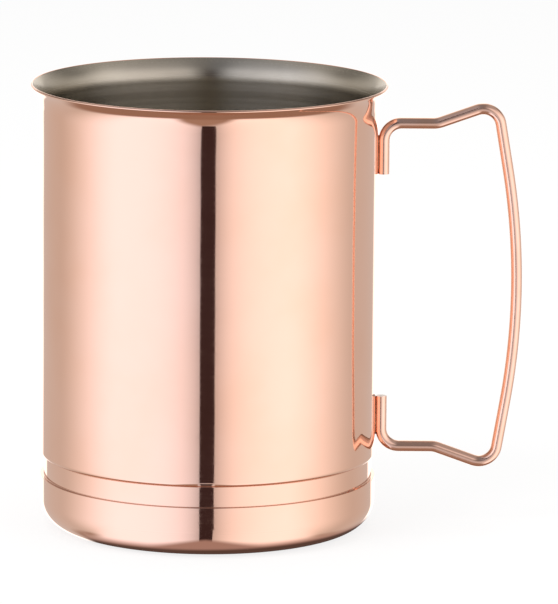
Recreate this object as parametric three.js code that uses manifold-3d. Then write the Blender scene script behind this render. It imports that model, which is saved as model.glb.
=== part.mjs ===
// Copper-plated steel mug with a bent wire handle, in millimetres, +Z up.
// The cup's axis is the Z axis, it stands on z = 0, and the handle reaches out along +X.
import * as THREE from 'three';
import { mergeVertices } from 'three/addons/utils/BufferGeometryUtils.js';
import Module from 'manifold-3d';

// Cup
const cupHeight = 114.5;
const wallRadius = 43.0;
const steelThickness = 0.5;
const platingThickness = 0.15;

// Base band, below the belt
const baseBandInset = 0.15;
const baseBandHeight = 13.3;
const baseCornerRadius = 7.3;

// Belt, the narrower band that is rolled in between the base band and the wall
const beltDepth = 0.97;
const beltHeight = 5.2;
const beltShoulderRadius = 0.25;
const wallFootRise = 0.4;
const wallFootRadius = 1.6;

// Flared lip
const lipFlare = 2.6;
const lipAngle = 44;
const lipBendRadius = 8.4;
const lipEdgeRadius = 0.15;

// Handle wire
const wireDiameter = 2.85;
const armBelowLip = 9.95;
const armAboveBelt = 2.15;
const armLength = 13.5;
const armBendRadius = 4.5;
const legLength = 13.1;
const kneeBendRadius = 6.0;
const handleReach = 37.2;
const handleCornerRise = 5.4;
const handleCornerRadius = 4.6;
const gripLean = 9.6;
const gripBowRadius = 180;
const wireEndRadius = 0.5;

// Welds between the handle's legs and the wall
const weldGap = 0.15;
const weldLength = 9.6;
const weldInset = 0.3;
const weldWidth = 1.6;
const weldClearance = 0.02;

// Fineness of the facets
const arcTolerance = 0.06;
const turnSegments = 60;
const wireSides = 12;
const weldSideSteps = 6;

const sheetThickness = platingThickness + steelThickness;
const baseBandRadius = wallRadius - baseBandInset;
const beltRadius = wallRadius - beltDepth;
const beltTop = baseBandHeight + beltHeight;
const upperArmHeight = cupHeight - armBelowLip;
const lowerArmHeight = beltTop + armAboveBelt;
const armSpacing = upperArmHeight - lowerArmHeight;
const handleMiddleHeight = (upperArmHeight + lowerArmHeight) / 2;
const wireRadius = wireDiameter / 2;
const legAxisX = wallRadius + weldGap + wireRadius;
const legEnd = armSpacing / 2 - legLength;

const solidTools = await Module();
solidTools.setup();

const radians = THREE.MathUtils.degToRad;

function point(x, y) {
  return new THREE.Vector2(x, y);
}

function leftOf(direction) {
  return point(-direction.y, direction.x);
}

// A line through the given corners, each rounded to its radius or to what its two sides allow.
// Returns the stations along it, each with its place and the line's direction there.
function roundedLine(corners) {
  const sides = corners.slice(1).map((corner, i) => corner.at.clone().sub(corners[i].at));
  const lengths = sides.map((side) => side.length());
  const directions = sides.map((side) => side.clone().normalize());
  const stations = [{ place: corners[0].at.clone(), direction: directions[0] }];
  let used = 0;
  for (let i = 1; i < corners.length - 1; i += 1) {
    const before = directions[i - 1];
    const after = directions[i];
    const turn = Math.atan2(before.cross(after), before.dot(after));
    const halfTan = Math.tan(Math.abs(turn) / 2);
    const wanted = corners[i].radius * halfTan;
    const cut = Math.min(wanted, lengths[i - 1] - used, lengths[i]);
    const radius = cut / halfTan;
    const side = Math.sign(turn);
    const start = corners[i].at.clone().addScaledVector(before, -cut);
    const centre = start.clone().addScaledVector(leftOf(before), side * radius);
    const stepTurn = 2 * Math.acos(Math.max(1 - arcTolerance / Math.max(radius, arcTolerance), 0));
    const steps = Math.max(1, Math.ceil(Math.abs(turn) / stepTurn));
    if (radius < arcTolerance) {
      stations.push({ place: corners[i].at.clone(), direction: before.clone().add(after).normalize() });
    } else {
      for (let k = 0; k <= steps; k += 1) {
        const angle = (turn * k) / steps;
        const direction = before.clone().rotateAround(point(0, 0), angle);
        const place = centre.clone().addScaledVector(leftOf(direction), -side * radius);
        stations.push({ place, direction });
      }
    }
    used = cut;
  }
  const last = corners.length - 1;
  stations.push({ place: corners[last].at.clone(), direction: directions[last - 1] });
  return stations.filter((s, i) => i === 0 || s.place.distanceTo(stations[i - 1].place) > 1e-6);
}

function places(stations) {
  return stations.map((station) => station.place);
}

// The cup's side as seen in a half section, from the middle of the base to the lip,
// at a depth under the outer surface. Trim shortens it at the lip.
function sheetCorners(depth, trim) {
  const lipDirection = point(Math.sin(radians(lipAngle)), Math.cos(radians(lipAngle)));
  const lipEnd = point(wallRadius + lipFlare, cupHeight - sheetThickness * lipDirection.x);
  const lipBend = lipEnd.clone().addScaledVector(lipDirection, -lipFlare / lipDirection.x);
  const outer = [
    { at: point(0, 0), radius: 0 },
    { at: point(baseBandRadius, 0), radius: baseCornerRadius },
    { at: point(baseBandRadius, baseBandHeight), radius: beltShoulderRadius },
    { at: point(beltRadius, baseBandHeight), radius: 0 },
    { at: point(beltRadius, beltTop), radius: 0 },
    { at: point(wallRadius, beltTop + wallFootRise), radius: wallFootRadius },
    { at: lipBend, radius: lipBendRadius },
    { at: lipEnd.addScaledVector(lipDirection, -trim), radius: 0 },
  ];
  return outer.map((corner, i) => {
    const before = outer[Math.max(i - 1, 0)].at;
    const after = outer[Math.min(i + 1, outer.length - 1)].at;
    const inSide = i > 0 ? corner.at.clone().sub(before).normalize() : after.clone().sub(corner.at).normalize();
    const outSide = i < outer.length - 1 ? after.clone().sub(corner.at).normalize() : inSide;
    const across = leftOf(inSide).add(leftOf(outSide));
    const at = corner.at.clone().addScaledVector(across, depth / (1 + inSide.dot(outSide)));
    const turnsLeft = inSide.cross(outSide) > 0;
    const radius = turnsLeft ? Math.max(corner.radius - depth, 0) : corner.radius + depth;
    return { at, radius };
  });
}

const steelOutside = places(roundedLine(sheetCorners(platingThickness, platingThickness)));
const steelInside = places(roundedLine(sheetCorners(sheetThickness, platingThickness)));

// Turns a closed half section round the Z axis.
function turned(halfSection, segments) {
  return new THREE.LatheGeometry(halfSection, segments).rotateX(Math.PI / 2);
}

// One drawn shell: flat base, base band, belt, straight wall and lip.
function steelCup() {
  const halfSection = [...steelOutside, ...[...steelInside].reverse()];
  return turned(halfSection, turnSegments);
}

// The copper layer covers the outside and the cut edge of the lip.
function copperPlating() {
  const outside = sheetCorners(0, 0);
  const lipCorner = outside[outside.length - 1];
  lipCorner.radius = lipEdgeRadius;
  const innerLip = sheetCorners(sheetThickness, 0);
  const innerLipCorner = { at: innerLip[innerLip.length - 1].at, radius: lipEdgeRadius };
  const steelEdge = { at: steelInside[steelInside.length - 1], radius: 0 };
  const skin = places(roundedLine([...outside, innerLipCorner, steelEdge]));
  return turned([...skin, ...[...steelOutside].reverse()], turnSegments);
}

// A curve through stations in the XZ plane that steps from one station to the next.
class WireCurve extends THREE.Curve {
  constructor(stations) {
    super();
    this.stations = stations;
  }

  stationAt(u) {
    return this.stations[Math.round(u * (this.stations.length - 1))];
  }

  getPointAt(u, target = new THREE.Vector3()) {
    const { place } = this.stationAt(u);
    return target.set(place.x, 0, place.y);
  }

  getTangentAt(u, target = new THREE.Vector3()) {
    const { direction } = this.stationAt(u);
    return target.set(direction.x, 0, direction.y);
  }
}

// The wire's centre line: leg, arm, knee, corner and bowed grip, then the same mirrored.
function handleCorners() {
  const gripFaceX = wallRadius + handleReach;
  const bowPeakX = gripFaceX - wireRadius;
  const lean = radians(gripLean);
  const gripCornerX = bowPeakX + gripBowRadius * (1 / Math.cos(lean) - 1);
  const armRise = armSpacing / 2;
  const cornerHeight = armRise + handleCornerRise;
  const upper = [
    { at: point(legAxisX, armRise - legLength), radius: 0 },
    { at: point(legAxisX, armRise), radius: armBendRadius },
    { at: point(legAxisX + armLength, armRise), radius: kneeBendRadius },
    { at: point(gripCornerX - cornerHeight * Math.tan(lean), cornerHeight), radius: handleCornerRadius },
  ];
  const grip = { at: point(gripCornerX, 0), radius: gripBowRadius };
  const lower = [...upper].reverse().map(({ at, radius }) => ({ at: point(at.x, -at.y), radius }));
  const middle = point(0, handleMiddleHeight);
  return [...upper, grip, ...lower].map(({ at, radius }) => ({ at: at.clone().add(middle), radius }));
}

function regularPolygon(radius, sides) {
  const corners = [];
  for (let i = 0; i < sides; i += 1) {
    const angle = (2 * Math.PI * i) / sides;
    corners.push(point(radius * Math.cos(angle), radius * Math.sin(angle)));
  }
  return new THREE.Shape(corners);
}

// Turns a geometry into a solid that can be joined or cut.
function solidOf(geometry) {
  const bare = geometry.clone();
  bare.deleteAttribute('normal');
  bare.deleteAttribute('uv');
  const merged = mergeVertices(bare, 1e-5);
  return new solidTools.Manifold(new solidTools.Mesh({
    numProp: 3,
    vertProperties: new Float32Array(merged.attributes.position.array),
    triVerts: new Uint32Array(merged.index.array),
  }));
}

function geometryOf(solid) {
  const mesh = solid.getMesh();
  const geometry = new THREE.BufferGeometry();
  geometry.setAttribute('position', new THREE.BufferAttribute(mesh.vertProperties, 3));
  geometry.setIndex(new THREE.BufferAttribute(mesh.triVerts, 1));
  geometry.computeVertexNormals();
  return geometry;
}

// A ring round the end of the wire that takes its sharp edge off.
// The end faces along +Z at height 0 before it is placed.
function endRoundingRing() {
  const clear = wireRadius;
  const edge = Math.min(wireEndRadius, wireRadius / 2);
  const ring = roundedLine([
    { at: point(wireRadius - edge - clear / 4, 0), radius: 0 },
    { at: point(wireRadius, 0), radius: edge },
    { at: point(wireRadius, -edge - clear / 4), radius: 0 },
  ]);
  const outline = [...places(ring), point(wireRadius + clear, -edge - clear / 4), point(wireRadius + clear, clear)];
  outline.push(point(wireRadius - edge - clear / 4, clear));
  outline.push(outline[0].clone());
  return turned(outline, wireSides * 2);
}

function handleWire() {
  const stations = roundedLine(handleCorners());
  const wire = new THREE.ExtrudeGeometry(regularPolygon(wireRadius, wireSides), {
    steps: stations.length - 1,
    extrudePath: new WireCurve(stations),
  });
  const upperRing = endRoundingRing().rotateX(Math.PI).translate(legAxisX, 0, handleMiddleHeight + legEnd);
  const lowerRing = endRoundingRing().translate(legAxisX, 0, handleMiddleHeight - legEnd);
  return geometryOf(solidOf(wire).subtract(solidOf(upperRing)).subtract(solidOf(lowerRing)));
}

// Metal that fills the crevice between a leg and the wall, from near the leg's end to where
// the wire bends away. Its two long faces follow the wall and the wire.
function legWeld() {
  const wallFace = wallRadius + weldClearance;
  const wireFace = wireRadius + weldClearance;
  const half = Math.min(weldWidth / 2, wireRadius * 0.8);
  const wallSide = [];
  const wireSide = [];
  for (let i = 0; i <= weldSideSteps; i += 1) {
    const y = half * ((2 * i) / weldSideSteps - 1);
    wallSide.push(point(Math.sqrt(wallFace ** 2 - y ** 2), y));
    wireSide.push(point(legAxisX - Math.sqrt(wireFace ** 2 - y ** 2), y));
  }
  const section = new THREE.Shape([...wallSide, ...wireSide.reverse()]);
  return new THREE.ExtrudeGeometry(section, { depth: weldLength, bevelEnabled: false });
}

const copper = { color: 0xefbb9d, roughness: 0.08, metalness: 1 };
const steel = { color: 0xb9b6ab, roughness: 0.35, metalness: 1 };
const weldMetal = { color: 0xb87a5c, roughness: 0.45, metalness: 1 };

const mug = new THREE.Group();

function addPiece(name, geometry, finish, height = 0) {
  const piece = new THREE.Mesh(geometry, new THREE.MeshStandardMaterial(finish));
  piece.name = name;
  piece.position.z = height;
  mug.add(piece);
}

addPiece('steel_cup', steelCup(), steel);
addPiece('copper_plating', copperPlating(), copper);
addPiece('handle_wire', handleWire(), copper);
addPiece('upper_weld', legWeld(), weldMetal, handleMiddleHeight + legEnd + weldInset);
addPiece('lower_weld', legWeld(), weldMetal, handleMiddleHeight - legEnd - weldInset - weldLength);

export default mug;
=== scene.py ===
from math import atan2, cos, pi, radians, sin, tan

import bmesh
import bpy
from mathutils import Matrix, Vector


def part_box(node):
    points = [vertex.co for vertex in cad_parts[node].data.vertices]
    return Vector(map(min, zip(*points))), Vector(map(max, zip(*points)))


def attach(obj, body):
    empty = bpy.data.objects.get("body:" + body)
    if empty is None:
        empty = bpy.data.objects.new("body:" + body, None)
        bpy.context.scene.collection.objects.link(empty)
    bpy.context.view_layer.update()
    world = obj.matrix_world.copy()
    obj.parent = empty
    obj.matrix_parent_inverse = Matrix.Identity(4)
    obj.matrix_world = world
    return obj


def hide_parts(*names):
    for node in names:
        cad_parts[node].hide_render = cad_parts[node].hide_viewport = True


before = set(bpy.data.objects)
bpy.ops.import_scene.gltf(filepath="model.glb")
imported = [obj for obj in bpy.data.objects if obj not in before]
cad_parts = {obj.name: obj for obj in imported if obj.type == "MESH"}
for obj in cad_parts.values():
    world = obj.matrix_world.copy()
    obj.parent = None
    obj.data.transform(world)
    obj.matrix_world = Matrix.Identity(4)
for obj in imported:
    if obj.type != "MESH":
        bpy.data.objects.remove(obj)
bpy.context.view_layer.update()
mm = 0.001
toDegrees = 180 / pi
print("frame loaded")


# camera: pitch and roll in degrees, lens and sensor in millimetres

view = {
    "place": (0.01805, -1.5615, 0.3525),
    "pitch": 10.682,  # below level
    "roll": 0.458,
    "lens": 370.2,
    "sensor": 36.0,
    "clip": (0.05, 20.0),
}


def placeCamera():
    lensData = bpy.data.cameras.new("benchCamera")
    lensData.lens = view["lens"]
    lensData.sensor_width = view["sensor"]
    lensData.clip_start, lensData.clip_end = view["clip"]
    camera = bpy.data.objects.new("benchCamera", lensData)
    bpy.context.scene.collection.objects.link(camera)
    tilt = Matrix.Rotation(radians(90 - view["pitch"]), 4, "X")
    roll = Matrix.Rotation(radians(view["roll"]), 4, "Z")
    camera.matrix_world = Matrix.Translation(view["place"]) @ tilt @ roll
    bpy.context.scene.camera = camera


placeCamera()
bpy.context.scene.view_settings.view_transform = "Standard"
print("camera placed")


# shader maths: a value is a socket on a node sheet, and the sheet makes the nodes

class Value:
    def __init__(self, sheet, socket):
        self.sheet = sheet
        self.socket = socket

    def __add__(self, other):
        return self.sheet.maths("ADD", self, other)

    def __radd__(self, other):
        return self.sheet.maths("ADD", other, self)

    def __sub__(self, other):
        return self.sheet.maths("SUBTRACT", self, other)

    def __rsub__(self, other):
        return self.sheet.maths("SUBTRACT", other, self)

    def __mul__(self, other):
        return self.sheet.maths("MULTIPLY", self, other)

    def __rmul__(self, other):
        return self.sheet.maths("MULTIPLY", other, self)

    def __truediv__(self, other):
        return self.sheet.maths("DIVIDE", self, other)

    def __rtruediv__(self, other):
        return self.sheet.maths("DIVIDE", other, self)

    def __abs__(self):
        return self.sheet.maths("ABSOLUTE", self)


class NodeSheet:
    def __init__(self, tree):
        self.tree = tree
        tree.nodes.clear()

    # any node: its settings first, then its sockets; out is the output that is wanted
    def add(self, kind, settings=None, sockets=None, out=0):
        node = self.tree.nodes.new(kind)
        for name, setting in (settings or {}).items():
            setattr(node, name, setting)
        for name, given in (sockets or {}).items():
            if isinstance(given, Value):
                self.tree.links.new(given.socket, node.inputs[name])
            else:
                node.inputs[name].default_value = given
        return Value(self, node.outputs[out]) if node.outputs else node

    def maths(self, operation, *parts):
        return self.add("ShaderNodeMath", {"operation": operation}, dict(enumerate(parts)))

    # goes smoothly from low to high while the value goes from start to end
    def ramp(self, value, start, end, low=0.0, high=1.0):
        sockets = {"Value": value, "From Min": start, "From Max": end, "To Min": low, "To Max": high}
        return self.add("ShaderNodeMapRange", {"interpolation_type": "SMOOTHSTEP"}, sockets)

    def tint(self, factor, first, second):
        return self.add("ShaderNodeMix", {"data_type": "RGBA"}, {0: factor, 6: first, 7: second}, out=2)

    def pick(self, factor, first, second):
        return self.add("ShaderNodeMix", {"data_type": "FLOAT"}, {0: factor, 2: first, 3: second})

    def dimmed(self, colour, level):
        return self.add("ShaderNodeVectorMath", {"operation": "SCALE"}, {0: colour, "Scale": level})

    def joinShaders(self, factor, first, second):
        return self.add("ShaderNodeMixShader", {}, {0: factor, 1: first, 2: second})

    def parts(self, vector):
        node = self.add("ShaderNodeSeparateXYZ", {}, {0: vector}).socket.node
        return [Value(self, socket) for socket in node.outputs]

    def vector(self, x, y, z):
        return self.add("ShaderNodeCombineXYZ", {}, {0: x, 1: y, 2: z})

    def noise(self, place, scale, detail=2.0):
        return self.add("ShaderNodeTexNoise", {}, {"Vector": place, "Scale": scale, "Detail": detail})

    def bump(self, height, distance, under=None):
        sockets = {"Height": height, "Distance": distance}
        if under:
            sockets["Normal"] = under
        return self.add("ShaderNodeBump", {}, sockets)

    def lightPath(self, name):
        return self.add("ShaderNodeLightPath", out=name)

    def objectPlace(self):
        return self.add("ShaderNodeTexCoord", out="Object")


def newFinish(name):
    finish = bpy.data.materials.new(name)
    finish.use_nodes = True
    return finish, NodeSheet(finish.node_tree)


def asColour(red, green, blue):
    return (red, green, blue, 1.0)


def fromAxis(sheet, x, y):
    return sheet.maths("SQRT", x * x + y * y)


# bearing in degrees: 0 on the camera's side, positive to its right
def bearingOf(sheet, x, y):
    return sheet.maths("ARCTAN2", x, 0 - y) * toDegrees


def clearSelection():
    if bpy.context.mode != "OBJECT":
        bpy.ops.object.mode_set(mode="OBJECT")
    bpy.ops.object.select_all(action="DESELECT")


# studio: two broad soft panels in front with a narrow dark gap, a pale backdrop behind
# all is set by bearing and by height above level, in degrees; a pair is the start and the end of a change

studio = {
    "leftPeak": 1.36,
    "rightPeak": 1.36,
    "sideLevel": 0.60,
    "leftTint": asColour(0.97, 1.0, 1.13),
    "rightTint": asColour(1.03, 1.0, 1.03),
    "sideTint": asColour(1.05, 1.0, 0.96),
    "gapMiddle": 0.2,
    "gapHalf": 4.6,
    "leftEdge": 12.5,  # how slowly each panel brightens beside the gap
    "rightEdge": 15.0,
    "leftFade": (62.0, 124.0),
    "rightFade": (54.0, 124.0),
    "upperLevel": (0.22, 0.90),  # above the panels: dark in the middle, pale beside it
    "upperSpread": (3.0, 20.0),
    "upperFade": (-12.0, 10.0),
    "upperSide": (80.0, 116.0),
    "upperSideLevel": 0.17,
    "panelSpread": (10.0, 42.0),  # the panels reach higher out here, by panelRise
    "panelRise": 22.0,
    "ceilingLevel": (0.24, 0.42),
    "ceilingFade": (28.0, 52.0),
    "zenithLevel": 0.24,
    "zenithFade": (64.0, 80.0),
    "backdropEdge": (153.5, 156.5),
    "backdropTop": (30.0, 60.0),
    "backdropSlant": 0.7,  # its edge moves back by this share of the height below slantStart
    "slantStart": -11.0,
    "backdropLevel": 1.5,
    "backdropDimLevel": 0.95,  # of its upper part, apart from the very middle
    "backdropDim": (-8.0, 2.0),
    "backdropMiddle": (172.0, 176.0),
    "roomLevel": 0.62,
}


# light of the panels and the backdrop, as polished metal sees them
def panelLight(sheet, turn, lift):
    away = abs(turn - studio["gapMiddle"])
    onRight = sheet.maths("GREATER_THAN", turn, 0.0)
    edge = sheet.pick(onRight, studio["leftEdge"], studio["rightEdge"])
    rise = sheet.maths("MAXIMUM", 1 - sheet.maths("EXPONENT", (studio["gapHalf"] - away) / edge), 0.0)
    leftFall = sheet.ramp(away, *studio["leftFade"], 1.0, 0.0)
    rightFall = sheet.ramp(away, *studio["rightFade"], 1.0, 0.0)
    fall = sheet.pick(onRight, leftFall, rightFall)
    peak = sheet.pick(onRight, studio["leftPeak"], studio["rightPeak"])
    panels = studio["sideLevel"] + (peak - studio["sideLevel"]) * rise * fall

    upper = sheet.ramp(away, *studio["upperSpread"], *studio["upperLevel"])
    upper = sheet.pick(sheet.ramp(away, *studio["upperSide"]), upper, studio["upperSideLevel"])
    panelTop = sheet.ramp(away, *studio["panelSpread"], 0.0, studio["panelRise"])
    level = sheet.pick(sheet.ramp(lift - panelTop, *studio["upperFade"]), panels, upper)
    ceiling = sheet.ramp(away, *studio["panelSpread"], *studio["ceilingLevel"])
    level = sheet.pick(sheet.ramp(lift, *studio["ceilingFade"]), level, ceiling)
    level = sheet.pick(sheet.ramp(lift, *studio["zenithFade"]), level, studio["zenithLevel"])

    slant = sheet.maths("MAXIMUM", studio["slantStart"] - lift, 0.0) * studio["backdropSlant"]
    behind = sheet.ramp(away - slant, *studio["backdropEdge"])
    behind = behind * sheet.ramp(lift, *studio["backdropTop"], 1.0, 0.0)
    dim = sheet.ramp(lift, *studio["backdropDim"])
    dim = dim * sheet.ramp(away, *studio["backdropMiddle"], 1.0, 0.0)
    backdrop = sheet.pick(dim, studio["backdropLevel"], studio["backdropDimLevel"])
    level = sheet.pick(behind, level, backdrop)

    tint = sheet.tint(onRight, studio["leftTint"], studio["rightTint"])
    tint = sheet.tint(fall, studio["sideTint"], tint)
    return sheet.dimmed(tint, level), away


# the table's far parts in the metal, dark brown in painted shade with a darker painted shadow below, and
# painted shade on what metal shows once light has been mirrored twice
below = {
    "groundShadeColour": asColour(0.385, 0.285, 0.235),
    "groundMiddle": -4.0,
    "groundEdge": -31.0,  # before the dip, which grows to both sides
    "groundSpread": (-10.0, 50.0),
    "groundDip": -45.0,
    "groundSoftness": 9.0,
    "lowShadowColour": asColour(0.32, 0.22, 0.17),
    "lowSpread": (30.0, 150.0),
    "lowEdge": (-67.0, -38.0),
    "lowSoftness": 5.0,
    "twice": 1.5,  # more glossy bounces than this are a second mirroring
    "twiceFade": (-53.0, -45.0),
    "creaseShadeDim": 0.38,
    "creaseFoot": (0.0, 6.0),
    "creaseTop": (25.0, 45.0),
}


def roomGlow(sheet, x, y, z):
    turn = bearingOf(sheet, x, y)
    lift = sheet.maths("ARCSINE", z) * toDegrees
    light, away = panelLight(sheet, turn, lift)

    # painted shade: below its edge the table shows dark brown
    sideways = abs(turn - below["groundMiddle"])
    groundEdge = below["groundEdge"] + sheet.ramp(sideways, *below["groundSpread"], 0.0, below["groundDip"])
    softness = below["groundSoftness"]
    above = sheet.ramp(lift - groundEdge, 0 - softness, softness)
    light = sheet.tint(above, below["groundShadeColour"], light)

    # painted shade: light mirrored twice is dimmed between level and the crease top, which darkens the crease
    # at the wall's foot
    twice = sheet.maths("GREATER_THAN", sheet.lightPath("Glossy Depth"), below["twice"])
    crease = sheet.ramp(lift, *below["creaseFoot"])
    crease = crease * sheet.ramp(lift, *below["creaseTop"], below["creaseShadeDim"], 0.0)
    light = sheet.dimmed(light, 1 - twice * crease)

    # painted shadow: light from steeply below, and light mirrored twice that heads down, takes the low shadow
    # colour
    softness = below["lowSoftness"]
    lowEdge = sheet.ramp(away, *below["lowSpread"], *below["lowEdge"])
    low = sheet.ramp(lift - lowEdge, 0 - softness, softness, 1.0, 0.0)
    low = sheet.maths("MAXIMUM", low, twice * sheet.ramp(lift, *below["twiceFade"], 1.0, 0.0))
    return sheet.tint(low, light, below["lowShadowColour"])


def makeRoom():
    room = bpy.data.worlds.new("paleRoom")
    bpy.context.scene.world = room
    room.use_nodes = True
    sheet = NodeSheet(room.node_tree)
    x, y, z = sheet.parts(sheet.add("ShaderNodeTexCoord"))
    plain = sheet.pick(sheet.lightPath("Is Camera Ray"), studio["roomLevel"], 1.0)
    colour = sheet.tint(sheet.lightPath("Is Glossy Ray"), plain, roomGlow(sheet, x, y, z))
    surface = sheet.add("ShaderNodeBackground", {}, {"Color": colour})
    sheet.add("ShaderNodeOutputWorld", {}, {"Surface": surface})
    room.cycles.sampling_method = "NONE"


# the dark gap between the panels, as a narrow card that only reflections show
gapCard = {
    "distance": 0.25,
    "middle": 0.0008,
    "width": 0.0401,
    "heights": (-0.045, 0.30),
    "colour": asColour(0.044, 0.026, 0.027),
}


def glowOnly(name, colour):
    finish, sheet = newFinish(name)
    glow = sheet.add("ShaderNodeEmission", {}, {"Color": colour})
    sheet.add("ShaderNodeOutputMaterial", {}, {"Surface": glow})
    finish.cycles.emission_sampling = "NONE"
    return finish


def hangGapCard():
    clearSelection()
    low, high = gapCard["heights"]
    bpy.ops.mesh.primitive_plane_add(size=1)
    card = bpy.context.object
    card.name = "gapCard"
    bpy.ops.object.mode_set(mode="EDIT")
    bpy.ops.transform.resize(value=(gapCard["width"], high - low, 1))
    bpy.ops.transform.rotate(value=pi / 2, orient_axis="X", center_override=(0, 0, 0))
    bpy.ops.transform.translate(value=(gapCard["middle"], -gapCard["distance"], (low + high) / 2))
    bpy.ops.object.mode_set(mode="OBJECT")
    card.data.materials.append(glowOnly("gapCard", gapCard["colour"]))
    card.visible_camera = False
    card.visible_diffuse = False
    card.visible_shadow = False
    card.visible_transmission = False


# tabletop: white to the camera with a soft shadow; in the metal only the ring round the base shows, glowing
# with painted panel light and a painted shadow round the base
# lengths in metres, bearings in degrees
tabletop = {
    "radius": 4.0,
    "sides": 96,
    "colour": asColour(0.97, 0.965, 0.96),
    "mattShare": 0.18,
    "mirrorRadius": 0.0425,  # of the base corner that mirrors the ring
    "ringLift": -20.0,
    "turnLimit": 150.0,
    "gapSoftness": 0.2,
    "ringSpread": (4.6, 8.0),  # the ring reaches further in front of the gap than beside it
    "ringReach": (0.0360, 0.0168),
    "reachSoftness": 0.0008,
    "ringSides": (40.0, 50.0),  # past here only its painted shadow is kept
    "openSide": (46.0, 56.0),  # past here, on the left, nothing of it
    "shadowShift": 0.0008,
    "shadowSpread": (-8.0, 24.0),
    "shadowReach": (0.0478, 0.0418),
    "shadowFade": (-0.0018, 0.0022),
    "shadowColour": asColour(0.40, 0.30, 0.28),
    "contactFade": (0.0393, 0.0412),
    "contactShadowColour": asColour(0.10, 0.07, 0.06),
}


# the colour of the ring: painted panel light, the gap's dark and a painted shadow; how much of it is painted
# as lit, and how far from the gap it mirrors
def ringLight(sheet, x, y, spot):
    away = fromAxis(sheet, x, y)
    turn = spot * (2 * away) / (2 * away - tabletop["mirrorRadius"])
    turn = sheet.maths("MAXIMUM", turn, 0 - tabletop["turnLimit"])
    turn = sheet.maths("MINIMUM", turn, tabletop["turnLimit"])
    light, bearing = panelLight(sheet, turn, tabletop["ringLift"])
    gapEdge = studio["gapHalf"]
    outside = sheet.ramp(bearing, gapEdge - tabletop["gapSoftness"], gapEdge + tabletop["gapSoftness"])
    light = sheet.tint(outside, gapCard["colour"], light)
    # painted shadow round the base, darkest at the contact
    near = fromAxis(sheet, x - tabletop["shadowShift"], y)
    shadowEdge = sheet.ramp(abs(spot), *tabletop["shadowSpread"], *tabletop["shadowReach"])
    pastContact = sheet.ramp(near, *tabletop["contactFade"])
    shadow = sheet.tint(pastContact, tabletop["contactShadowColour"], tabletop["shadowColour"])
    lit = sheet.ramp(near - shadowEdge, *tabletop["shadowFade"])
    return sheet.tint(lit, shadow, light), lit, bearing


def makeFloor():
    clearSelection()
    bpy.ops.mesh.primitive_circle_add(vertices=tabletop["sides"], radius=tabletop["radius"], fill_type="NGON")
    floor = bpy.context.object
    floor.name = "paleFloor"
    finish, sheet = newFinish("paleFloor")
    x, y = sheet.parts(sheet.objectPlace())[:2]
    spot = bearingOf(sheet, x, y)
    light, lit, bearing = ringLight(sheet, x, y, spot)
    limit = sheet.ramp(bearing, *tabletop["ringSpread"], *tabletop["ringReach"])
    softness = tabletop["reachSoftness"]
    tooFar = sheet.ramp(sheet.lightPath("Ray Length") - limit, 0 - softness, softness)
    through = sheet.maths("MAXIMUM", tooFar, lit * sheet.ramp(abs(spot), *tabletop["ringSides"]))
    through = sheet.maths("MAXIMUM", through, sheet.ramp(0 - spot, *tabletop["openSide"]))
    # painted light: the ring glows though it is no lamp, and only metal sees it
    ring = sheet.add("ShaderNodeEmission", {}, {"Color": light})
    seenInMetal = sheet.joinShaders(through, ring, sheet.add("ShaderNodeBsdfTransparent"))
    matt = sheet.add("ShaderNodeBsdfDiffuse", {}, {"Color": tabletop["colour"]})
    white = sheet.add("ShaderNodeEmission", {}, {"Strength": 1.0})
    seenByCamera = sheet.joinShaders(tabletop["mattShare"], white, matt)
    seenElsewhere = sheet.joinShaders(sheet.lightPath("Is Glossy Ray"), matt, seenInMetal)
    surface = sheet.joinShaders(sheet.lightPath("Is Camera Ray"), seenElsewhere, seenByCamera)
    sheet.add("ShaderNodeOutputMaterial", {}, {"Surface": surface})
    finish.cycles.emission_sampling = "NONE"
    floor.data.materials.append(finish)


# lamps light what is matt; metal does not mirror them
lamps = {
    "keyPanel": {"place": (-0.75, -0.7, 1.1), "size": 0.8, "power": 9.0},
    "fillPanel": {"place": (0.9, -0.8, 0.9), "size": 0.9, "power": 4.0},
    "topPanel": {"place": (0.0, 0.25, 1.3), "size": 1.0, "power": 5.0},
}
lampAim = (0.0, 0.0, 0.05)


def hangLamps():
    for name, lamp in lamps.items():
        light = bpy.data.lights.new(name, "AREA")
        light.size = lamp["size"]
        light.energy = lamp["power"]
        holder = bpy.data.objects.new(name, light)
        aim = Vector(lampAim) - Vector(lamp["place"])
        holder.location = lamp["place"]
        holder.rotation_euler = aim.to_track_quat("-Z", "Y").to_euler()
        holder.visible_glossy = False
        bpy.context.scene.collection.objects.link(holder)


makeRoom()
hangGapCard()
makeFloor()
hangLamps()
print("studio ready")


# finishes: noise scales are per metre, bump depths in metres

def metalSurface(sheet, colour, rough, normal, more=None):
    sockets = {"Base Color": colour, "Metallic": 1.0, "Roughness": rough, "Normal": normal}
    surface = sheet.add("ShaderNodeBsdfPrincipled", {}, {**sockets, **(more or {})})
    sheet.add("ShaderNodeOutputMaterial", {}, {"Surface": surface})


copperTone = {
    "bright": asColour(0.95, 0.61, 0.47),
    "warm": asColour(0.93, 0.575, 0.425),
    "spread": (0.35, 0.75),
}


def copperColour(sheet, place, cloudScale):
    cloud = sheet.noise(place, cloudScale, detail=3)
    return sheet.tint(sheet.ramp(cloud, *copperTone["spread"]), copperTone["bright"], copperTone["warm"])


# polished outside of the cup: faint clouds, level wiping marks, the slow waves of drawing, fine grooves
polish = {
    "cloudScale": 38,
    "wipingAcross": 90,
    "wipingUp": 1400,
    "wipingSpread": (0.35, 0.75),
    "roughness": (0.045, 0.085),
    "wavesAround": 2.2,  # radius of the circle that the waves follow through the noise
    "wavesUp": 60,
    "waveDepth": 0.00006,
    "grooveScale": 2600,
    "grooveDepth": 0.0000006,
}


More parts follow.
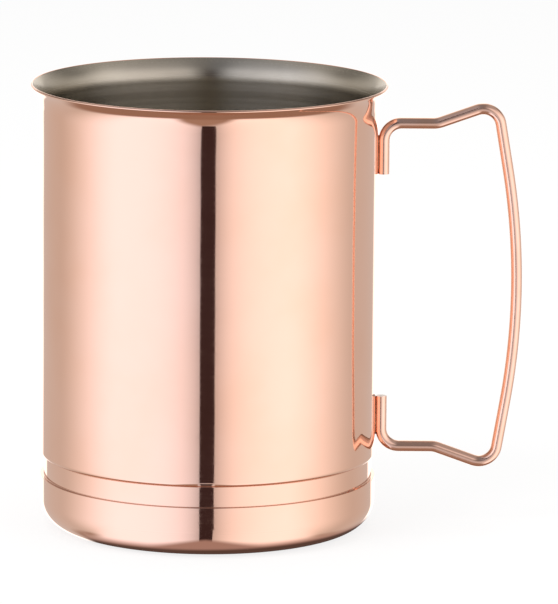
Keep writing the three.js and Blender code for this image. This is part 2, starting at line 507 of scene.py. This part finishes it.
def mirrorCopper():
    finish, sheet = newFinish("mirrorCopper")
    place = sheet.objectPlace()
    x, y, z = sheet.parts(place)
    across = polish["wipingAcross"]
    wiping = sheet.noise(sheet.vector(x * across, y * across, z * polish["wipingUp"]), 1.0, detail=3)
    rough = sheet.ramp(wiping, *polish["wipingSpread"], *polish["roughness"])
    turn = sheet.maths("ARCTAN2", y, x)
    east = sheet.maths("COSINE", turn) * polish["wavesAround"]
    north = sheet.maths("SINE", turn) * polish["wavesAround"]
    waves = sheet.noise(sheet.vector(east, north, z * polish["wavesUp"]), 1.0, detail=1)
    groove = polish["grooveScale"]
    grooves = sheet.noise(sheet.vector(fromAxis(sheet, x, y) * groove, 0.0, z * groove), 1.0)
    normal = sheet.bump(grooves, polish["grooveDepth"], sheet.bump(waves, polish["waveDepth"]))
    metalSurface(sheet, copperColour(sheet, place, polish["cloudScale"]), rough, normal)
    return finish


# bare steel inside the cup: fine turned lines that stretch the highlights up and down
satin = {
    "pale": asColour(0.63, 0.575, 0.475),
    "deep": asColour(0.56, 0.505, 0.41),
    "cloudScale": 60,
    "spread": (0.3, 0.7),
    "fineLines": 5000,
    "broadLines": 600,
    "fineShare": 0.35,
    "roughness": (0.21, 0.28),
    "lineDepth": 0.0000018,
    "stretch": 0.85,
    "stretchTurn": 0.25,
}


def satinSteel():
    finish, sheet = newFinish("satinSteel")
    place = sheet.objectPlace()
    x, y, z = sheet.parts(place)
    away = fromAxis(sheet, x, y)
    lines = sheet.noise(sheet.vector(away * satin["fineLines"], 0.0, z * satin["fineLines"]), 1.0, detail=3)
    broad = sheet.noise(sheet.vector(away * satin["broadLines"], 0.0, z * satin["broadLines"]), 1.0)
    cloud = sheet.noise(place, satin["cloudScale"], detail=3)
    colour = sheet.tint(sheet.ramp(cloud, *satin["spread"]), satin["pale"], satin["deep"])
    mixed = lines * satin["fineShare"] + broad * (1 - satin["fineShare"])
    rough = sheet.ramp(mixed, *satin["spread"], *satin["roughness"])
    stretch = {"Anisotropic": satin["stretch"], "Anisotropic Rotation": satin["stretchTurn"]}
    metalSurface(sheet, colour, rough, sheet.bump(lines, satin["lineDepth"]), stretch)
    return finish


wireLook = {
    "cloudScale": 150,
    "grainScale": 900,
    "grainSpread": (0.3, 0.7),
    "roughness": (0.07, 0.13),
    "grainDepth": 0.000006,
}


def platedWire():
    finish, sheet = newFinish("platedWire")
    place = sheet.objectPlace()
    grain = sheet.noise(place, wireLook["grainScale"], detail=3)
    rough = sheet.ramp(grain, *wireLook["grainSpread"], *wireLook["roughness"])
    normal = sheet.bump(grain, wireLook["grainDepth"])
    metalSurface(sheet, copperColour(sheet, place, wireLook["cloudScale"]), rough, normal)
    return finish


# bare steel on the cut ends of the legs
cutLook = {
    "grainScale": 2200,
    "grainSpread": (0.3, 0.7),
    "pale": asColour(0.62, 0.58, 0.54),
    "dark": asColour(0.50, 0.42, 0.37),
    "roughness": (0.3, 0.5),
    "grainDepth": 0.00002,
}


def cutWireEnd():
    finish, sheet = newFinish("cutWireEnd")
    grain = sheet.noise(sheet.objectPlace(), cutLook["grainScale"], detail=4)
    colour = sheet.tint(grain, cutLook["pale"], cutLook["dark"])
    rough = sheet.ramp(grain, *cutLook["grainSpread"], *cutLook["roughness"])
    metalSurface(sheet, colour, rough, sheet.bump(grain, cutLook["grainDepth"]))
    return finish


weldLook = {
    "grainScale": 1400,
    "patchScale": 420,
    "spread": (0.3, 0.7),
    "bright": asColour(0.62, 0.27, 0.15),
    "dark": asColour(0.38, 0.13, 0.07),
    "roughness": (0.35, 0.6),
    "grainDepth": 0.00004,
}


def weldMetal():
    finish, sheet = newFinish("weldMetal")
    place = sheet.objectPlace()
    grain = sheet.noise(place, weldLook["grainScale"], detail=4)
    patch = sheet.noise(place, weldLook["patchScale"])
    colour = sheet.tint(sheet.ramp(patch, *weldLook["spread"]), weldLook["bright"], weldLook["dark"])
    rough = sheet.ramp(grain, *weldLook["spread"], *weldLook["roughness"])
    metalSurface(sheet, colour, rough, sheet.bump(grain, weldLook["grainDepth"]))
    return finish


# modelling: points drawn, rings spun; lengths in millimetres until they reach a mesh

shaping = {
    "bendStep": 4.0,  # degrees for each step round a corner
    "leastSteps": 3,
    "sharp": 0.01,  # a smaller radius leaves the corner as it is
    "longest": 6.0,  # of a stretch without a stop
    "guard": 0.25,  # a long straight has a stop this close to each end, so its shading stays flat
    "guardFrom": 1.0,
    "same": 0.00001,  # points nearer than this are one
    "merge": 0.001,
    "smoothAngle": 40,
}


def startAtPoint(name, place):
    clearSelection()
    bpy.ops.mesh.primitive_plane_add(size=mm)
    piece = bpy.context.object
    piece.name = name
    bpy.ops.object.mode_set(mode="EDIT")
    bpy.ops.mesh.select_all(action="SELECT")
    bpy.ops.mesh.merge(type="CENTER")
    bpy.ops.transform.translate(value=place)
    return piece


def drawOn(points):
    for before, after in zip(points, points[1:]):
        bpy.ops.mesh.extrude_vertices_move(TRANSFORM_OT_translate={"value": after - before})


def closeUp():
    bpy.ops.mesh.select_all(action="SELECT")
    bpy.ops.mesh.remove_doubles(threshold=shaping["merge"] * mm)
    bpy.ops.mesh.normals_make_consistent(inside=False)


def finishShape(smoothAngle):
    bpy.ops.object.mode_set(mode="OBJECT")
    bpy.ops.object.shade_smooth_by_angle(angle=radians(smoothAngle))


# where a bend of a radius starts, its middle, its end and the angle it turns, positive to the left
def bendAt(before, corner, after, radius):
    inward = (corner - before).normalized()
    outward = (after - corner).normalized()
    turn = atan2(inward.x * outward.y - inward.y * outward.x, inward.dot(outward))
    cut = radius * tan(abs(turn) / 2)
    start = corner - inward * cut
    side = 1 if turn > 0 else -1
    middle = start + Vector((-inward.y, inward.x)) * radius * side
    return start, middle, corner + outward * cut, turn


# a line through corners, each rounded to its radius: the points along it
def roundedLine(corners):
    corners = [(Vector(place), radius) for place, radius in corners]
    line = [corners[0][0]]
    for (before, _), (corner, radius), (after, _) in zip(corners, corners[1:], corners[2:]):
        if radius < shaping["sharp"]:
            line.append(corner)
            continue
        start, middle, _, turn = bendAt(before, corner, after, radius)
        steps = max(shaping["leastSteps"], round(abs(turn) / radians(shaping["bendStep"])))
        for k in range(steps + 1):
            spoke = start - middle
            spoke.rotate(Matrix.Rotation(turn * k / steps, 2))
            line.append(middle + spoke)
    line.append(corners[-1][0])
    return addStops(line)


def addStops(line):
    dense = [line[0]]
    for point in line[1:]:
        start = dense[-1]
        gap = (point - start).length
        if gap < shaping["same"]:
            continue
        guard = shaping["guard"] / gap
        middles = int(gap // shaping["longest"])
        stops = [k / (middles + 1) for k in range(1, middles + 1)]
        if gap > shaping["guardFrom"]:
            stops += [guard, 1 - guard]
        dense += [start.lerp(point, stop) for stop in sorted(stops)]
        dense.append(point)
    return dense


def spinOutline(name, outline, around):
    outline = [Vector((point.x * mm, 0, point.y * mm)) for point in outline]
    piece = startAtPoint(name, outline[0])
    drawOn(outline)
    bpy.ops.mesh.select_all(action="SELECT")
    bpy.ops.mesh.spin(steps=around, angle=2 * pi, center=(0, 0, 0), axis=(0, 0, 1))
    closeUp()
    finishShape(shaping["smoothAngle"])
    return piece


# the cup: copper layer outside, bare steel inside, one outline at several depths

cup = {
    "height": 114.475,
    "wallRadius": 43.0,
    "steelThickness": 0.5,
    "platingThickness": 0.15,
    "baseBandRadius": 42.85,
    "baseBandHeight": 13.3,
    "baseCorner": 7.3,
    "beltRadius": 42.03,
    "beltHeight": 5.2,
    "creaseFillet": 0.12,
    "shoulder": 0.07,
    "wallFootRise": 0.4,
    "wallFoot": 1.35,
    "lipFlare": 2.575,
    "lipAngle": 44,
    "lipBend": 7.0,
    "lipEdge": 0.2,
    "steelShortBy": 0.32,  # the plating wraps over the steel's cut edge
    "leastRadius": 0.1,
    "around": 192,
}
sheetThickness = cup["steelThickness"] + cup["platingThickness"]


# the outside of the cup from the middle of the base to the lip, as corners and radii
def outerCorners(trim):
    along = Vector((sin(radians(cup["lipAngle"])), cos(radians(cup["lipAngle"]))))
    lipEnd = Vector((cup["wallRadius"] + cup["lipFlare"], cup["height"] - sheetThickness * along.x))
    lipStart = lipEnd - along * cup["lipFlare"] / along.x
    beltTop = cup["baseBandHeight"] + cup["beltHeight"]
    return [
        (Vector((0, 0)), 0),
        (Vector((cup["baseBandRadius"], 0)), cup["baseCorner"]),
        (Vector((cup["baseBandRadius"], cup["baseBandHeight"])), cup["shoulder"]),
        (Vector((cup["beltRadius"], cup["baseBandHeight"])), cup["creaseFillet"]),
        (Vector((cup["beltRadius"], beltTop)), cup["creaseFillet"]),
        (Vector((cup["wallRadius"], beltTop + cup["wallFootRise"])), cup["wallFoot"]),
        (lipStart, cup["lipBend"]),
        (lipEnd - along * trim, 0),
    ]


# the same corners moved into the sheet by a depth; trim shortens the lip
def cupCorners(depth, trim=0.0):
    outer = outerCorners(trim)
    places = [place for place, radius in outer]
    last = len(outer) - 1
    moved = []
    for i, (place, radius) in enumerate(outer):
        inward = (place - places[i - 1]).normalized() if i else (places[1] - place).normalized()
        outward = (places[i + 1] - place).normalized() if i < last else inward
        across = Vector((-inward.y - outward.y, inward.x + outward.x))
        leftTurn = inward.x * outward.y - inward.y * outward.x > 0
        bend = max(radius - depth, cup["leastRadius"]) if leftTurn else radius + depth
        moved.append((place + across * depth / (1 + inward.dot(outward)), bend))
    return moved


def makeCopperPlating():
    skin = cupCorners(0.0)
    skin[-1] = (skin[-1][0], cup["lipEdge"])
    lipInside = cupCorners(sheetThickness)[-1][0]
    steelEdge = cupCorners(sheetThickness, cup["steelShortBy"])[-1][0]
    skin = roundedLine(skin + [(lipInside, cup["lipEdge"]), (steelEdge, 0)])
    back = roundedLine(cupCorners(cup["platingThickness"], cup["steelShortBy"]))
    return spinOutline("copperPlating", skin + back[::-1], cup["around"])


def makeSteelCup():
    outside = roundedLine(cupCorners(cup["platingThickness"], cup["steelShortBy"]))
    inside = roundedLine(cupCorners(sheetThickness, cup["steelShortBy"]))
    return spinOutline("steelCup", outside + inside[::-1], cup["around"])


copperPlating = makeCopperPlating()
copperPlating.data.materials.append(mirrorCopper())
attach(copperPlating, "root")
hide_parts("copper_plating")

steelCup = makeSteelCup()
steelCup.data.materials.append(satinSteel())
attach(steelCup, "root")
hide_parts("steel_cup")
print("cup modelled")


# the handle: one wire, bent ring by ring from the upper leg to the lower one

handle = {
    "wireRadius": 1.425,
    "legAxis": 44.475,
    "upperArm": 104.55,
    "lowerArm": 20.65,
    "legLength": 13.1,
    "armBend": 4.5,
    "armLength": 13.6,
    "kneeBend": 6.0,
    "reach": 80.14,
    "cornerRise": 5.4,
    "cornerBend": 4.6,
    "gripLean": 9.6,
    "gripBow": 180,
    "gripSteps": 28,
    "bendStep": 5.0,  # degrees
    "leastSteps": 4,
    "sides": 32,
    "endRounding": 0.45,
    "endSegments": 5,
    "endReach": 0.01,  # how near a leg's end a point is taken as being on it
    "legReach": 2.0,
    "bareFrom": 12.6,  # past this length of a leg its end is bare
    "bareLean": 0.3,  # on faces that turn up or down by more than this
    "bareWithin": 46.0,
}


# corners of the wire's middle line, each with its bend radius
def handleCorners():
    middle = (handle["upperArm"] + handle["lowerArm"]) / 2
    rise = (handle["upperArm"] - handle["lowerArm"]) / 2
    lean = radians(handle["gripLean"])
    gripCorner = handle["reach"] - handle["wireRadius"] + handle["gripBow"] * (1 / cos(lean) - 1)
    cornerHeight = rise + handle["cornerRise"]
    upper = [
        ((handle["legAxis"], rise - handle["legLength"]), 0),
        ((handle["legAxis"], rise), handle["armBend"]),
        ((handle["legAxis"] + handle["armLength"], rise), handle["kneeBend"]),
        ((gripCorner - cornerHeight * tan(lean), cornerHeight), handle["cornerBend"]),
    ]
    lower = [((x, -z), radius) for (x, z), radius in upper[::-1]]
    corners = upper + [((gripCorner, 0), handle["gripBow"])] + lower
    return [(Vector((x, z + middle)), radius) for (x, z), radius in corners]


def upright(flat):
    return Vector((flat.x * mm, 0, flat.y * mm))


def selectLegEnd(piece, height):
    mesh = bmesh.from_edit_mesh(piece.data)
    for vertex in mesh.verts:
        onLeg = abs(vertex.co.x - handle["legAxis"] * mm) < handle["legReach"] * mm
        vertex.select = onLeg and abs(vertex.co.z - height * mm) < handle["endReach"] * mm
    mesh.select_flush_mode()
    for edge in mesh.edges:
        edge.select = all(vertex.select for vertex in edge.verts)
    mesh.select_flush(True)
    bmesh.update_edit_mesh(piece.data)


def extrudeTo(start, end):
    bpy.ops.mesh.extrude_region_move(TRANSFORM_OT_translate={"value": upright(end - start)})


def startWire(place):
    clearSelection()
    radius = handle["wireRadius"] * mm
    bpy.ops.mesh.primitive_circle_add(vertices=handle["sides"], radius=radius, location=upright(place))
    piece = bpy.context.object
    piece.name = "handleWire"
    bpy.ops.object.transform_apply(location=True, rotation=True, scale=True)
    bpy.ops.object.mode_set(mode="EDIT")
    bpy.ops.mesh.select_all(action="SELECT")
    return piece


def makeHandleWire():
    corners = handleCorners()
    at = corners[0][0]
    piece = startWire(at)
    for (before, _), (corner, radius), (after, _) in zip(corners, corners[1:], corners[2:]):
        start, middle, end, turn = bendAt(before, corner, after, radius)
        extrudeTo(at, start)
        steps = max(handle["leastSteps"], round(abs(turn) / radians(handle["bendStep"])))
        if radius == handle["gripBow"]:
            steps = handle["gripSteps"]
        bpy.ops.mesh.spin(steps=steps, angle=turn, center=upright(middle), axis=(0, 1, 0))
        at = end
    extrudeTo(at, corners[-1][0])
    ends = [corners[0][0].y, corners[-1][0].y]
    for height in ends:
        selectLegEnd(piece, height)
        bpy.ops.mesh.edge_face_add()
    closeUp()
    for height in ends:
        selectLegEnd(piece, height)
        rounding = handle["endRounding"] * mm
        bpy.ops.mesh.bevel(offset=rounding, segments=handle["endSegments"], affect="EDGES")
    finishShape(shaping["smoothAngle"])
    return piece


def bareLegEnds(piece):
    low = (handle["lowerArm"] + handle["bareFrom"]) * mm
    high = (handle["upperArm"] - handle["bareFrom"]) * mm
    for face in piece.data.polygons:
        pastEnd = face.center.x < handle["bareWithin"] * mm and low < face.center.z < high
        if pastEnd and abs(face.normal.z) > handle["bareLean"]:
            face.material_index = 1


handleWire = makeHandleWire()
handleWire.data.materials.append(platedWire())
handleWire.data.materials.append(cutWireEnd())
bareLegEnds(handleWire)
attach(handleWire, "root")
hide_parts("handle_wire")
print("handle bent")


# the welds: beads in the crevice between each leg and the wall

bead = {
    "halfWidth": 0.85,
    "length": 9.6,
    "clearance": 0.012,
    "sideSteps": 8,
    "ripples": 9,
    "rippleDepth": 0.10,
    "rings": 54,
    "endWidth": 0.45,
    "taperRate": 4,
    "smoothAngle": 50,
}


# the crevice seen from above: the wall's curve on one side, the wire's on the other
def beadOutline():
    wallFace = cup["wallRadius"] + bead["clearance"]
    wireFace = handle["wireRadius"] + bead["clearance"]
    steps = bead["sideSteps"]
    spots = [bead["halfWidth"] * (2 * i / steps - 1) for i in range(steps + 1)]
    wallSide = [((wallFace ** 2 - y * y) ** 0.5, y) for y in spots]
    wireSide = [(handle["legAxis"] - (wireFace ** 2 - y * y) ** 0.5, y) for y in spots[::-1]]
    return [Vector((x * mm, y * mm, 0)) for x, y in wallSide + wireSide]


# width of the bead at a share of its length: ripples, narrowed to both ends
def beadWidth(share):
    ripple = 1 - bead["rippleDepth"] * abs(sin(pi * bead["ripples"] * share))
    nearestEnd = min(share, 1 - share)
    return ripple * min(1.0, bead["taperRate"] * nearestEnd + bead["endWidth"])


def makeBead(name, node, finish):
    low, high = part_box(node)
    length = bead["length"] * mm
    startHeight = (low[2] + high[2] - length) / 2
    outline = [place + Vector((0, 0, startHeight)) for place in beadOutline()]
    piece = startAtPoint(name, outline[0])
    drawOn(outline)
    bpy.ops.mesh.select_all(action="SELECT")
    bpy.ops.mesh.edge_face_add()
    step = length / bead["rings"]
    width = 1.0
    for k in range(1, bead["rings"] + 1):
        wanted = beadWidth(k / bead["rings"])
        centre = (outline[0].x, 0, startHeight + k * step)
        bpy.ops.mesh.extrude_region_move(TRANSFORM_OT_translate={"value": (0, 0, step)})
        bpy.ops.transform.resize(value=(1, wanted / width, 1), center_override=centre)
        width = wanted
    bpy.ops.mesh.select_all(action="SELECT")
    bpy.ops.mesh.normals_make_consistent(inside=False)
    finishShape(bead["smoothAngle"])
    piece.data.materials.append(finish)
    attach(piece, "root")
    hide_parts(node)


beadFinish = weldMetal()
makeBead("upperWeld", "upper_weld", beadFinish)
makeBead("lowerWeld", "lower_weld", beadFinish)
print("welds laid")

clearSelection()
